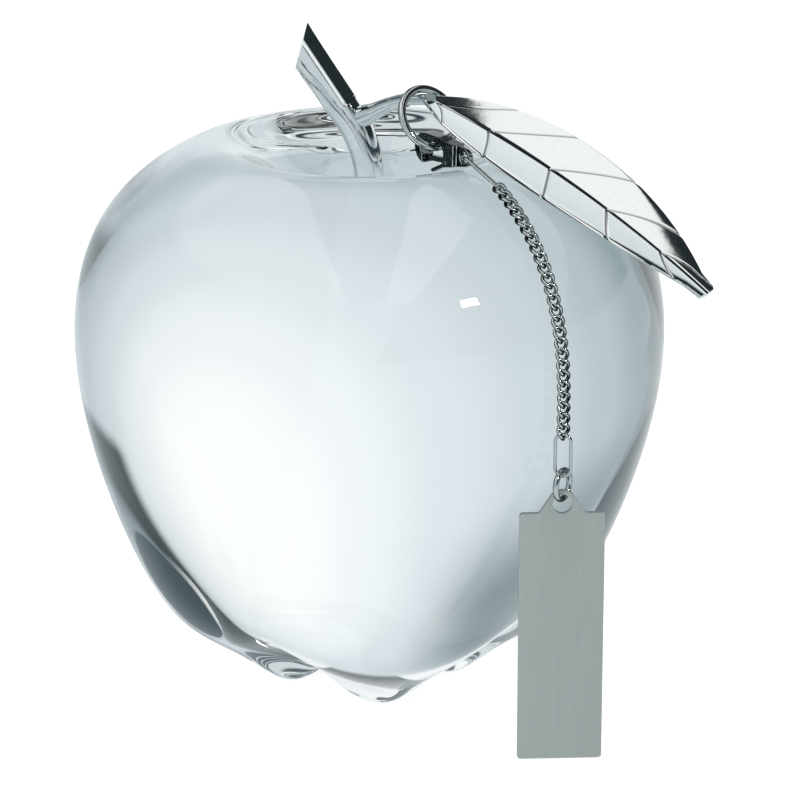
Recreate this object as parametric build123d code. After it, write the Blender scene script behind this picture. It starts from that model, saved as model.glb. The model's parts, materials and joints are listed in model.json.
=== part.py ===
from build123d import *
import os
from math import asin, cos, pi, radians, sin, sqrt

os.makedirs("parts", exist_ok=True)

# Millimetres, +Z up. The stem leans towards -X, the tag hangs towards +X and -Y.
# Everything is modelled round the apple's axis and moved to the centre of the whole at export.

# Solid glass body
glass_radius = 45.0
glass_height = 85.2
widest_height = 55.7
rim_radius = 22.4
dimple_depth = 8.9
dimple_floor_radius = 3.2
foot_radius = 11.5
hollow_depth = 5.4
hollow_floor_radius = 3.0
foot_grind = 0.15
dimple_radius_shares = (0.354, 0.646)
dimple_height_shares = (0.135, 0.584)
shoulder_radius_shares = (0.350, 0.781, 0.956)
shoulder_height_shares = (0.919, 0.627, 0.315)
flank_radius_shares = (0.922, 0.770, 0.525, 0.239)
flank_height_shares = (0.684, 0.422, 0.185, 0.066)
hollow_middle_share = 0.5
lobe_count = 4
lobe_turn = 8.0
lobe_points = 32
valley_share = 0.24
valley_rise = 6.8
valley_softness = 0.3
valley_power = 1.5

# Cast metal stem
stem_foot_radius = 2.2
stem_middle_radius = 2.45
stem_top_radius = 2.75
stem_top_offset = 11.8
stem_rise = 26.3
stem_offset_shares = (0.0, 0.07, 0.21, 0.35, 0.60, 0.82, 1.0)
stem_rise_shares = (0.145, 0.305, 0.453, 0.553, 0.722, 0.871, 1.0)
stem_low_radius_shares = (0.2, 0.6, 1.0)
stem_high_radius_shares = (0.3, 0.55, 0.8, 1.0)
fork_knot = 5
peg_depth = 6.0
peg_clearance = 0.06
flute_radius = 6.0
flute_floor = 1.25
flute_turn = 28.4
stem_tip_height = 26.9
stem_tip_offset = 9.3
stem_heel_height = 20.4
stem_heel_offset = 11.1

# Side twig that carries the leaf
twig_azimuth = -53.0
twig_reach = 9.2
twig_root_offset = 2.0
twig_root_rise = 12.5
twig_root_radius = 2.0
twig_middle_radius = 1.35
twig_end_radius = 1.05
twig_end_rise = 17.0
twig_reach_shares = (0.35, 0.72)
twig_rise_shares = (0.36, 0.78)
socket_radius = 0.62
socket_depth = 1.6
socket_clearance = 0.06

# Cast metal leaf with its stalk
stalk_reach = 4.8
stalk_rise = 0.9
leaf_azimuth = -33.5
leaf_length = 54.0
leaf_half_width = 9.0
leaf_thickness = 0.8
leaf_dip_root = 17.0
leaf_dip_tip = 34.0
leaf_roll = 8.6
leaf_fold = 10.4
leaf_stations = 11
leaf_root_power = 0.70
leaf_tip_power = 0.90
leaf_root_width = 0.9
leaf_tip_width = 0.4
stalk_radius = 0.85
stalk_overlap = 1.2

# The ring, clasp and chain hang in the twig's upright plane, through the apple's axis
hang_gap = 0.12

# Jump ring round the stalk
ring_wire = 1.2
ring_outside = 10.4
ring_stand = 3.256
ring_tilt = 32.0

# Lobster clasp
clasp_thickness = 2.2
clasp_tilt = -2.0
hook_radius = 2.3
hook_front = -2.1
hook_back = 0.6
slot_radius = 1.3
slot_front = -1.75
slot_back = 1.1
clasp_drop = 0.5
eye_reach = 6.4
eye_drop = 0.2
eye_radius = 1.35
eye_hole_radius = 0.92
eye_thickness = 0.8
eye_neck = 4.75
eye_play = 0.26
mouth_front = -2.6
mouth_back = 2.35
lip_front = -2.2
lip_drop = 2.5
pivot_reach = 3.3
pivot_drop = 1.5
hub_radius = 0.6
gate_thickness = 0.9
gate_slot_width = 1.1
gate_room = 0.12
gate_half_height = 0.4
gate_tip_reach = -2.08
gate_tip_drop = 2.0
lever_root_reach = 2.4
lever_root_drop = 2.0
lever_tip_reach = -0.9
lever_tip_drop = 3.7
lever_half_height = 0.28
rivet_radius = 0.28
rivet_room = 0.05
spring_thickness = 0.14
spring_width = 0.7
spring_gap = 0.06
spring_end_reach = 2.1
spring_end_drop = 1.1
spring_root_reach = 3.95

# Oval wire links at the two ends of the chain
oval_wire = 0.5
upper_width = 2.8
upper_roll = -35.0
lower_width = 2.8
lower_length = 6.8
lower_azimuth = -13.0

# Twisted curb links
link_count = 25
link_pitch = 1.6
link_wire = 0.5
link_length = 2.7
link_width = 2.2
link_twist = -45.0
link_side_slope = -38.0
oval_play = 0.34
chain_lift = 1.65
chain_start_share = 0.21
chain_samples = 14

# Cut jump ring through the tag
tag_ring_wire = 0.9
tag_ring_outside = 5.2
tag_ring_azimuth = -120.0
tag_ring_cut = 0.4
tag_ring_cut_angle = 58.0

# Flat engraving tag
tag_width = 12.5
tag_length = 38.2
tag_thickness = 0.8
tag_corner = 0.5
tag_azimuth = 3.0
tag_hole_radius = 1.45
tag_hang = 0.7
ear_radius = 2.1
ear_base = 6.8
ear_depth = 1.4
ear_fillet = 0.6

# Helper lengths
reach_over = 10.0
tiny = 0.01


def spread(start, end, shares):
    return [start + (end - start) * share for share in shares]


def polar(reach, azimuth, height):
    return Vector(reach * cos(radians(azimuth)), reach * sin(radians(azimuth)), height)


def upright(azimuth):
    angle = radians(azimuth)
    return Plane(origin=(0, 0, 0), x_dir=(cos(angle), sin(angle), 0), z_dir=(sin(angle), -cos(angle), 0))


def loft_circles(points, radii):
    line = Spline(*points)
    discs = []
    for point, radius in zip(points, radii):
        place = line.param_at_point(point)
        discs.append(Wire([Edge.make_circle(radius, Plane(origin=line @ place, z_dir=line % place))]))
    return Solid.make_loft(discs, False)


# Glass profile, from the dimple floor over the rim and down to the middle of the base
dimple_floor = glass_height - dimple_depth
profile_radii = [dimple_floor_radius]
profile_radii += spread(dimple_floor_radius, rim_radius, dimple_radius_shares)
profile_radii += [rim_radius]
profile_radii += spread(rim_radius, glass_radius, shoulder_radius_shares)
profile_radii += [glass_radius]
profile_radii += spread(foot_radius, glass_radius, flank_radius_shares)
profile_radii += [foot_radius, foot_radius + (hollow_floor_radius - foot_radius) * hollow_middle_share]
profile_radii += [hollow_floor_radius]
profile_heights = [dimple_floor]
profile_heights += spread(dimple_floor, glass_height, dimple_height_shares)
profile_heights += [glass_height]
profile_heights += spread(widest_height, glass_height, shoulder_height_shares)
profile_heights += [widest_height]
profile_heights += spread(0, widest_height, flank_height_shares)
profile_heights += [-foot_grind, hollow_depth * hollow_middle_share, hollow_depth]
knots = [Vector(radius, 0, height) for radius, height in zip(profile_radii, profile_heights)]
profile = Spline(*knots)
knot_shares = [profile.param_at_point(knot) for knot in knots]
widest_share = knot_shares[profile_radii.index(glass_radius)]
foot_share = knot_shares[profile_radii.index(foot_radius)]


def glass_ring(share):
    point = profile @ share
    weight = 0
    if widest_share < share < foot_share:
        weight = ((share - widest_share) / (foot_share - widest_share)) ** valley_power
    elif share >= foot_share:
        weight = (1 - share) / (1 - foot_share)
    points = []
    for count in range(lobe_points):
        angle = 2 * pi * count / lobe_points
        wave = cos(angle * lobe_count / 2)
        valley = 1 - sqrt((wave ** 2 + valley_softness ** 2) / (1 + valley_softness ** 2))
        radius = point.X * (1 - valley_share * weight * valley)
        height = point.Z + valley_rise * weight ** valley_power * valley
        turn = angle - pi / 2 + radians(lobe_turn)
        points.append(Vector(radius * cos(turn), radius * sin(turn), height))
    even = [count / lobe_points for count in range(lobe_points + 1)]
    return Wire([Edge.make_spline(points, periodic=True, parameters=even)])


ring_shares = []
for first, second in zip(knot_shares[:-1], knot_shares[1:]):
    ring_shares += [first, (first + second) / 2]
ring_shares += [knot_shares[-1]]
glass = Solid.make_loft([glass_ring(share) for share in ring_shares], False)
floor_side = glass_radius * 2 + reach_over * 2
glass = glass - Box(floor_side, floor_side, reach_over, align=(Align.CENTER, Align.CENTER, Align.MAX))
stem_hole = Cylinder(
    stem_foot_radius + peg_clearance,
    peg_depth + reach_over,
    align=(Align.CENTER, Align.CENTER, Align.MIN),
)
glass = glass - Pos(0, 0, dimple_floor - peg_depth) * stem_hole

# Stem trunk, peg, twig, flute and oblique end
trunk_points = [Vector(0, 0, dimple_floor - peg_depth), Vector(0, 0, dimple_floor)]
for offset_share, rise_share in zip(stem_offset_shares, stem_rise_shares):
    trunk_points.append(Vector(-stem_top_offset * offset_share, 0, dimple_floor + stem_rise * rise_share))
trunk_radii = [stem_foot_radius, stem_foot_radius]
trunk_radii += spread(stem_foot_radius, stem_middle_radius, stem_low_radius_shares)
trunk_radii += spread(stem_middle_radius, stem_top_radius, stem_high_radius_shares)
peg = Cylinder(stem_foot_radius, peg_depth, align=(Align.CENTER, Align.CENTER, Align.MIN))
trunk = loft_circles(trunk_points[1:], trunk_radii[1:]) + Pos(trunk_points[0]) * peg

twig_start = Vector(-twig_root_offset, 0, dimple_floor + twig_root_rise)
twig_end = polar(twig_reach, twig_azimuth, dimple_floor + twig_end_rise)
twig_points = [twig_start]
for reach_share, rise_share in zip(twig_reach_shares, twig_rise_shares):
    level = twig_start + (twig_end - twig_start) * reach_share
    height = twig_start.Z + (twig_end.Z - twig_start.Z) * rise_share
    twig_points.append(Vector(level.X, level.Y, height))
twig_points.append(twig_end)
twig_radii = (twig_root_radius, twig_middle_radius, twig_end_radius, twig_end_radius)
twig = loft_circles(twig_points, twig_radii)

top_run = (trunk_points[-1] - trunk_points[-4]).normalized()
across = Vector(top_run.Z, 0, -top_run.X)
flute_side = across * cos(radians(flute_turn)) + Vector(0, -sin(radians(flute_turn)), 0)
flute_origin = trunk_points[fork_knot] + flute_side * (flute_floor + flute_radius)
flute = extrude(Plane(origin=flute_origin, z_dir=top_run) * Circle(flute_radius), amount=stem_rise)
end_high = Vector(-stem_tip_offset, 0, dimple_floor + stem_tip_height)
end_low = Vector(-stem_heel_offset, 0, dimple_floor + stem_heel_height)
end_line = (end_high - end_low).normalized()
end_out = Vector(-end_line.Z, 0, end_line.X)
end_cut = extrude(Plane(origin=end_low, z_dir=end_out) * Rectangle(stem_rise, stem_rise), amount=reach_over)
stem = trunk + twig - flute - end_cut
leaf_root = twig_end + polar(stalk_reach, twig_azimuth, stalk_rise)
stalk_length = (leaf_root - twig_end).length
stalk_plane = Plane(origin=twig_end, z_dir=leaf_root - twig_end)
stem = stem - extrude(stalk_plane * Rectangle(reach_over, reach_over), amount=twig_end_radius * 2)
socket = extrude(stalk_plane * Circle(socket_radius), amount=-socket_depth)
stem = stem - socket

# Leaf blade, lofted through shallow V sections square to a drooping midrib
leaf_forward = Vector(cos(radians(leaf_azimuth)), sin(radians(leaf_azimuth)), 0)
leaf_side = Vector(sin(radians(leaf_azimuth)), -cos(radians(leaf_azimuth)), 0)
leaf_up = Vector(0, 0, 1)
leaf_widest = leaf_root_power / (leaf_root_power + leaf_tip_power)
width_peak = leaf_widest ** leaf_root_power * (1 - leaf_widest) ** leaf_tip_power


def leaf_frame(share):
    bend = radians(leaf_dip_tip - leaf_dip_root)
    radius = leaf_length / bend
    low = radians(leaf_dip_root)
    dip = low + bend * share
    forward = radius * (sin(dip) - sin(low))
    drop = radius * (cos(low) - cos(dip))
    place = leaf_root + leaf_forward * forward - leaf_up * drop
    along = leaf_forward * cos(dip) - leaf_up * sin(dip)
    normal = leaf_forward * sin(dip) + leaf_up * cos(dip)
    return place, along, normal


def leaf_section(share, width):
    place, along, normal = leaf_frame(share)
    rear_turn = radians(leaf_fold + leaf_roll)
    front_turn = radians(leaf_fold - leaf_roll)
    rear = leaf_side * -cos(rear_turn) + normal * sin(rear_turn)
    front = leaf_side * cos(front_turn) + normal * sin(front_turn)
    lift = normal * (leaf_thickness / 2)
    corners = [place + rear * width + lift, place + lift, place + front * width + lift]
    corners += [place + front * width - lift, place - lift, place + rear * width - lift]
    return Wire.make_polygon(corners, close=True)


leaf_sections = [leaf_section(0, leaf_root_width)]
for count in range(1, leaf_stations):
    share = count / leaf_stations
    shape = share ** leaf_root_power * (1 - share) ** leaf_tip_power / width_peak
    leaf_sections.append(leaf_section(share, leaf_half_width * shape))
leaf_sections.append(leaf_section(1, leaf_tip_width))
blade = Solid.make_loft(leaf_sections, False)
stalk = extrude(stalk_plane * Circle(stalk_radius), amount=stalk_length + stalk_overlap)
stalk_pin = extrude(stalk_plane * Circle(socket_radius - socket_clearance), amount=-socket_depth)
leaf = blade + stalk + stalk_pin

# Jump ring, hanging over the stalk and leaning outward
hang_plane = upright(twig_azimuth)
ring_radius = (ring_outside - ring_wire) / 2
stalk_run = (stalk_reach / stalk_length, stalk_rise / stalk_length)
ring_lift = stalk_radius + ring_wire / 2 + hang_gap
ring_top_reach = twig_reach + stalk_run[0] * ring_stand - stalk_run[1] * ring_lift
ring_top_height = twig_end.Z + stalk_run[1] * ring_stand + stalk_run[0] * ring_lift
ring_top = (ring_top_reach, ring_top_height)
ring_down = (sin(radians(ring_tilt)), -cos(radians(ring_tilt)))
ring_middle = (ring_top[0] + ring_down[0] * ring_radius, ring_top[1] + ring_down[1] * ring_radius)
ring_low = (ring_middle[0] + ring_down[0] * ring_radius, ring_middle[1] + ring_down[1] * ring_radius)
ring_place = hang_plane * Pos(ring_middle[0], ring_middle[1], 0) * Rot(0, 0, ring_tilt) * Rot(0, 90, 0)
leaf_ring = ring_place * Torus(ring_radius, ring_wire / 2)

# Lobster clasp, drawn with its ring contact at the origin, outward to the right
clasp_place = hang_plane * Pos(ring_low[0], ring_low[1], 0) * Rot(0, 0, clasp_tilt)
hook_circles = [
    Pos(hook_front, -clasp_drop, 0) * Edge.make_circle(hook_radius),
    Pos(hook_back, -clasp_drop, 0) * Edge.make_circle(hook_radius),
    Pos(eye_reach, -eye_drop, 0) * Edge.make_circle(eye_radius),
]
clasp_shape = make_face(make_hull(hook_circles))
slot_shape = Pos((slot_front + slot_back) / 2, -clasp_drop, 0) * SlotCenterToCenter(
    slot_back - slot_front, slot_radius * 2
)
mouth_shape = make_face(
    Polyline(
        (mouth_front, -clasp_drop - slot_radius / 2),
        (mouth_back, -clasp_drop - slot_radius / 2),
        (mouth_back, -reach_over),
        (lip_front, -reach_over),
        (lip_front, -lip_drop),
        (mouth_front, -lip_drop),
        close=True,
    )
)
clasp_body = extrude(clasp_shape - slot_shape - mouth_shape, amount=clasp_thickness / 2, both=True)
pivot_spot = Pos(pivot_reach, -pivot_drop, 0)
gate_room_shape = make_face(
    Polyline(
        (slot_back, -pivot_drop + hub_radius + gate_room + spring_thickness + spring_gap),
        (pivot_reach + hub_radius + gate_room, -pivot_drop + hub_radius + gate_room + spring_thickness + spring_gap),
        (pivot_reach + hub_radius + gate_room, -reach_over),
        (slot_back, -reach_over),
        close=True,
    )
)
clasp_body = clasp_body - extrude(gate_room_shape, amount=gate_slot_width / 2, both=True)
clasp_body = clasp_body - pivot_spot * Cylinder(rivet_radius + rivet_room, clasp_thickness * 2)
eye_spot = Pos(eye_reach, -eye_drop, 0)
clasp_body = clasp_body - eye_spot * Cylinder(eye_hole_radius, clasp_thickness * 2)
cheek = Pos(eye_neck, -reach_over / 2, eye_thickness / 2) * Box(
    reach_over, reach_over, clasp_thickness, align=(Align.MIN, Align.MIN, Align.MIN)
)
clasp_body = clasp_body - cheek - cheek.mirror(Plane.XY)

gate_points = (Vector(pivot_reach, -pivot_drop, 0), Vector(gate_tip_reach, -gate_tip_drop, 0))
gate_bar = make_face(
    make_hull(
        [
            Pos(gate_points[0]) * Edge.make_circle(gate_half_height),
            Pos(gate_points[1]) * Edge.make_circle(gate_half_height),
        ]
    )
)
lever_bar = make_face(
    make_hull(
        [
            Pos(lever_root_reach, -lever_root_drop, 0) * Edge.make_circle(lever_half_height),
            Pos(lever_tip_reach, -lever_tip_drop, 0) * Edge.make_circle(lever_half_height),
        ]
    )
)
gate_shape = gate_bar + lever_bar + pivot_spot * Circle(hub_radius)
gate_shape = gate_shape - pivot_spot * Circle(rivet_radius + rivet_room)
clasp_gate = extrude(gate_shape, amount=gate_thickness / 2, both=True)
clasp_pin = pivot_spot * Cylinder(rivet_radius, clasp_thickness)
roof = -pivot_drop + hub_radius + gate_room + spring_gap + spring_thickness
spring_line = Polyline(
    (spring_root_reach - rivet_room, roof - spring_thickness / 2),
    (pivot_reach, roof - spring_thickness / 2),
    (spring_end_reach, -spring_end_drop),
)
spring_shape = trace(spring_line, spring_thickness)
clasp_spring = extrude(spring_shape, amount=spring_width / 2, both=True)


# Oval link in its own frame, length along X and width along Y
def oval_link(length, width):
    straight = length - width
    bend = (width - oval_wire) / 2
    path = SlotCenterToCenter(straight, bend * 2).wire()
    section = Plane(origin=path @ 0, z_dir=path % 0) * Circle(oval_wire / 2)
    return sweep(section, path=path)


# Curb link in its own frame, length along X, width along Y, both ends twisted the same way
def curb_quarter():
    side = Vector(0, (link_width - link_wire) / 2, 0)
    end = Vector((link_length - link_wire) / 2, 0, 0)
    slope = radians(link_side_slope)
    twist = radians(link_twist)
    side_run = Vector(cos(slope), 0, sin(slope))
    end_run = Vector(0, -cos(twist), -sin(twist))
    chord = end - side
    both = side_run + end_run
    square = 2 * (1 - side_run.dot(end_run))
    linear = 2 * chord.dot(both)
    span = (-linear + sqrt(linear ** 2 + 4 * square * chord.dot(chord))) / (2 * square)
    middle = (side + end + (side_run - end_run) * span) * 0.5
    middle_run = ((end - end_run * span) - (side + side_run * span)).normalized()
    return [TangentArc(side, middle, tangent=side_run), TangentArc(middle, end, tangent=middle_run)]


def curb_link():
    quarter = curb_quarter()
    path = Wire(quarter + [arc.rotate(Axis.Y, 180) for arc in quarter])
    section = Plane(origin=path @ 0, z_dir=path % 0) * Circle(link_wire / 2)
    half = sweep(section, path=path)
    return half + half.rotate(Axis.X, 180)


# Chain path, lifted off the glass profile, then straight down from the widest point
chain_points = []
for count in range(chain_samples + 1):
    share = chain_start_share + (widest_share - chain_start_share) * count / chain_samples
    run = profile % share
    away = Vector(-run.Z, 0, run.X)
    place = profile @ share + away * chain_lift
    chain_points.append((place.X, place.Z))
start_run = profile % chain_start_share
chain_bend = Spline(*chain_points, tangents=[(start_run.X, start_run.Z), (0, -1)])
bend_length = chain_bend.length


def chain_spot(distance):
    if distance <= bend_length:
        point = chain_bend.position_at(distance / bend_length)
        return Vector(point.X, point.Y)
    return Vector(chain_points[-1][0], chain_points[-1][1] - (distance - bend_length))


pivots = [chain_spot(link_pitch * count) for count in range(link_count + 1)]
curb = curb_link()
links = []
for first, second in zip(pivots[:-1], pivots[1:]):
    middle = (first + second) * 0.5
    run = second - first
    turn = -asin(-run.Y / run.length) * 180 / pi
    links.append(hang_plane * Pos(middle.X, middle.Y, 0) * Rot(0, 0, turn) * Rot(90, 0, 0) * curb)

# Upper oval link, from the clasp's eye to the first curb link
eye_local = Vector(eye_reach, -eye_drop, 0)
tilt = radians(clasp_tilt)
eye_middle = Vector(
    ring_low[0] + eye_local.X * cos(tilt) - eye_local.Y * sin(tilt),
    ring_low[1] + eye_local.X * sin(tilt) + eye_local.Y * cos(tilt),
)
upper_run = (pivots[0] - eye_middle).normalized()
upper_near = eye_middle + upper_run * eye_play
upper_far = pivots[0] + upper_run * oval_play
upper_middle = (upper_near + upper_far) * 0.5
upper_turn = -asin(-upper_run.Y) * 180 / pi
upper_length = (upper_far - upper_near).length + oval_wire
upper_place = hang_plane * Pos(upper_middle.X, upper_middle.Y, 0) * Rot(0, 0, upper_turn) * Rot(90, 0, 0)
upper_link = upper_place * Rot(upper_roll, 0, 0) * oval_link(upper_length, upper_width)

# Lower oval link, hanging on the last curb link
hang_spot = polar(pivots[-1].X, twig_azimuth, pivots[-1].Y)
lower_span = lower_length - oval_wire
lower_top = hang_spot + Vector(0, 0, oval_play)
lower_middle = lower_top - Vector(0, 0, lower_span / 2)
lower_wire = oval_link(lower_length, lower_width)
lower_turn = Pos(lower_middle) * Rot(0, 0, lower_azimuth) * Rot(90, 0, 0) * Rot(0, 0, 90)
lower_link = lower_turn * lower_wire
lower_end = lower_top - Vector(0, 0, lower_span)

# Cut jump ring
tag_ring_radius = (tag_ring_outside - tag_ring_wire) / 2
tag_ring_top = lower_end + Vector(0, 0, oval_wire / 2 + tag_ring_wire / 2 + hang_gap)
tag_ring_middle = tag_ring_top - Vector(0, 0, tag_ring_radius)
tag_ring_end = tag_ring_top - Vector(0, 0, tag_ring_radius * 2)
ring_cut = Rot(0, 0, tag_ring_cut_angle) * Pos(tag_ring_radius, 0, 0) * Box(
    tag_ring_wire * 2, tag_ring_cut, tag_ring_wire * 2
)
tag_ring = Pos(tag_ring_middle) * Rot(0, 0, tag_ring_azimuth) * Rot(90, 0, 0) * (
    Torus(tag_ring_radius, tag_ring_wire / 2) - ring_cut
)

# Tag, drawn with its hole at the origin
ear = make_face(
    make_hull([Edge.make_circle(ear_radius), Edge.make_line((-ear_base / 2, -ear_depth), (ear_base / 2, -ear_depth))])
)
plate = Pos(0, -ear_depth, 0) * Rectangle(tag_width, tag_length, align=(Align.CENTER, Align.MAX))
plate = fillet(plate.vertices(), tag_corner)
tag_shape = ear + plate
inner_corners = [
    corner
    for corner in tag_shape.vertices()
    if abs(corner.Y + ear_depth) < tiny and abs(abs(corner.X) - ear_base / 2) < tiny
]
tag_shape = fillet(inner_corners, ear_fillet) - Circle(tag_hole_radius)
tag_middle = tag_ring_end - Vector(0, 0, tag_hang)
tag_place = Pos(tag_middle) * Rot(0, 0, tag_azimuth) * Rot(90, 0, 0)
tag = tag_place * extrude(tag_shape, amount=tag_thickness / 2, both=True)

# Hinge points in the modelling frame, for the record
ring_hinge = polar(ring_top[0], twig_azimuth, ring_top[1])
clasp_hinge = polar(ring_low[0], twig_azimuth, ring_low[1])
gate_spot = clasp_place * Pos(pivot_reach, -pivot_drop, 0)
gate_hinge = gate_spot.position
upper_hinge = polar(eye_middle.X, twig_azimuth, eye_middle.Y)
link_hinges = [polar(pivot.X, twig_azimuth, pivot.Y) for pivot in pivots]
tag_ring_hinge = lower_end + Vector(0, 0, (oval_wire + hang_gap) / 2)
tag_hinge = tag_ring_end

# Names, move to the centre of the whole, and export
pieces = {
    "glass_apple": glass,
    "stem": stem,
    "leaf": leaf,
    "leaf_ring": leaf_ring,
    "clasp_body": clasp_place * clasp_body,
    "clasp_gate": clasp_place * clasp_gate,
    "clasp_pin": clasp_place * clasp_pin,
    "clasp_spring": clasp_place * clasp_spring,
    "upper_link": upper_link,
    "lower_link": lower_link,
    "tag_ring": tag_ring,
    "tag": tag,
}
for number, link in enumerate(links, start=1):
    pieces[f"chain_link_{number:02d}"] = link
corners = [shape.bounding_box() for shape in pieces.values()]
middle_x = (min(box.min.X for box in corners) + max(box.max.X for box in corners)) / 2
middle_y = (min(box.min.Y for box in corners) + max(box.max.Y for box in corners)) / 2
home = Pos(-middle_x, -middle_y, 0)
for name, shape in pieces.items():
    solids = (home * shape).solids()
    export_step(solids[0] if len(solids) == 1 else Compound(solids), f"parts/{name}.step")
    print(name, len(solids), round(sum(solid.volume for solid in solids), 3))
print("moved by", round(-middle_x, 4), round(-middle_y, 4))
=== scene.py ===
"""Looks of the glass apple with its metal stem, leaf, curb chain and engraving tag.

Every length in the dataclasses is in millimetres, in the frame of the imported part.
Meshes are written in metres.
"""

import json
import logging
import math
from dataclasses import dataclass
from enum import Enum
from typing import Any, Dict, List, Optional, Sequence, Tuple

import bpy
import numpy as np
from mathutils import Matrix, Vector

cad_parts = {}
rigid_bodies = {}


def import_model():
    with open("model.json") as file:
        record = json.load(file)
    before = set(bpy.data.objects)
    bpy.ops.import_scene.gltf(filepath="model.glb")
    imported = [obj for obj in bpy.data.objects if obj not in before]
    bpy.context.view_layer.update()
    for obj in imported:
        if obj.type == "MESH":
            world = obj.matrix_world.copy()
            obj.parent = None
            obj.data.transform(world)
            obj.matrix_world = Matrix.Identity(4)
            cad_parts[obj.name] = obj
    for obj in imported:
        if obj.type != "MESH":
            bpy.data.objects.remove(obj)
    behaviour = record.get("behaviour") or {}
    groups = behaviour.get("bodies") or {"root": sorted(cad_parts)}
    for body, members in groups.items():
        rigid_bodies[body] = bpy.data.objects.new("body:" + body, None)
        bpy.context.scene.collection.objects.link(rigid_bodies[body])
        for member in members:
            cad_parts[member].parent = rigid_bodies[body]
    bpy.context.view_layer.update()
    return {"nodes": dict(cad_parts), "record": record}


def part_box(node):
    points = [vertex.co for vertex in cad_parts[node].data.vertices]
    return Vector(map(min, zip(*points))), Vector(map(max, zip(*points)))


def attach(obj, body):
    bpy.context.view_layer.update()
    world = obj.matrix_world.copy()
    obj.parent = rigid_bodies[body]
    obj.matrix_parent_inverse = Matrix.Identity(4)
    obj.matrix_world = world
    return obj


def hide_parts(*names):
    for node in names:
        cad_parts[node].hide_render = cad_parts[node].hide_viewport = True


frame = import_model()

MM = 0.001
LOG = logging.getLogger("apple")

Array = np.ndarray
Colour = Tuple[float, float, float, float]

# A size that keeps divisions away from zero, and plain white light
TINY = 1e-9
WHITE: Colour = (1.0, 1.0, 1.0, 1.0)


def linear(code: str) -> Colour:
    """Turn an sRGB hex colour into linear light.

    Args:
        code: Six hex digits, such as "D8DCDC".

    Returns:
        Red, green and blue in linear light, and an alpha of 1.
    """
    parts = np.array([int(code[i:i + 2], 16) for i in (0, 2, 4)]) / 255.0
    low = parts / 12.92
    high = ((parts + 0.055) / 1.055) ** 2.4
    red, green, blue = np.where(parts <= 0.04045, low, high).tolist()
    return red, green, blue, 1.0


def add_node(tree: Any, kind: str, settings: Optional[Dict[str, Any]] = None, **values: Any) -> Any:
    """Add one shader node, with its settings, socket values and links.

    Args:
        tree: The node tree.
        kind: The node's type name.
        settings: Properties of the node itself.
        values: Socket name to a plain value or to an output socket. In a name an underscore stands
            for a space, and the letter s with a number for the socket of that number.

    Returns:
        The new node.
    """
    node = tree.nodes.new(kind)
    for name, value in (settings or {}).items():
        setattr(node, name, value)
    for name, value in values.items():
        key = int(name[1:]) if name[0] == "s" and name[1:].isdigit() else name.replace("_", " ")
        socket = node.inputs[key]
        if isinstance(value, bpy.types.NodeSocket):
            tree.links.new(value, socket)
        else:
            socket.default_value = value
    return node


def colour_mix(tree: Any, share: Any, first: Any, second: Any) -> Any:
    """The socket with two colours mixed by a share, at 0 the first and at 1 the second."""
    mix = add_node(tree, "ShaderNodeMix", {"data_type": "RGBA"}, Factor=share, s6=first, s7=second)
    return mix.outputs[2]


def smooth_step(tree: Any, value: Any, edges: Tuple[float, float]) -> Any:
    """The socket with a smooth rise from 0 at the first edge to 1 at the second.

    Args:
        tree: The node tree.
        value: The socket that is followed.
        edges: The two edges; the first may be the larger.

    Returns:
        The output socket.
    """
    rise = add_node(
        tree, "ShaderNodeMapRange", {"interpolation_type": "SMOOTHSTEP"},
        Value=value, From_Min=edges[0], From_Max=edges[1],
    )
    return rise.outputs["Result"]


def surface_noise(tree: Any, place: Any, scale: float, detail: float, roughness: float = 0.5) -> Any:
    """The socket with noise at a place, of the given scale, detail and roughness."""
    noise = add_node(
        tree, "ShaderNodeTexNoise", Vector=place, Scale=scale, Detail=detail, Roughness=roughness
    )
    return noise.outputs["Fac"]


def bumped(tree: Any, height: Any, depth: float, strength: float = 1.0) -> Any:
    """The socket with normals bent by a height, whose full step is a depth in millimetres."""
    bump = add_node(tree, "ShaderNodeBump", Height=height, Distance=depth * MM, Strength=strength)
    return bump.outputs["Normal"]


def new_material(name: str) -> Tuple[Any, Any, Any]:
    """Make an empty node material.

    Args:
        name: The material's name.

    Returns:
        The material, its node tree and its output node.
    """
    material = bpy.data.materials.new(name)
    material.use_nodes = True
    tree = material.node_tree
    tree.nodes.clear()
    return material, tree, tree.nodes.new("ShaderNodeOutputMaterial")


def unit(vectors: Array) -> Array:
    """Vectors scaled to a length of one, along the last axis."""
    return vectors / np.maximum(np.linalg.norm(vectors, axis=-1, keepdims=True), TINY)


def chord_lengths(points: Sequence[Sequence[float]]) -> Array:
    """Running chord length at each point."""
    knots = np.asarray(points, float)
    return np.concatenate([[0.0], np.cumsum(np.linalg.norm(np.diff(knots, axis=0), axis=1))])


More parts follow.
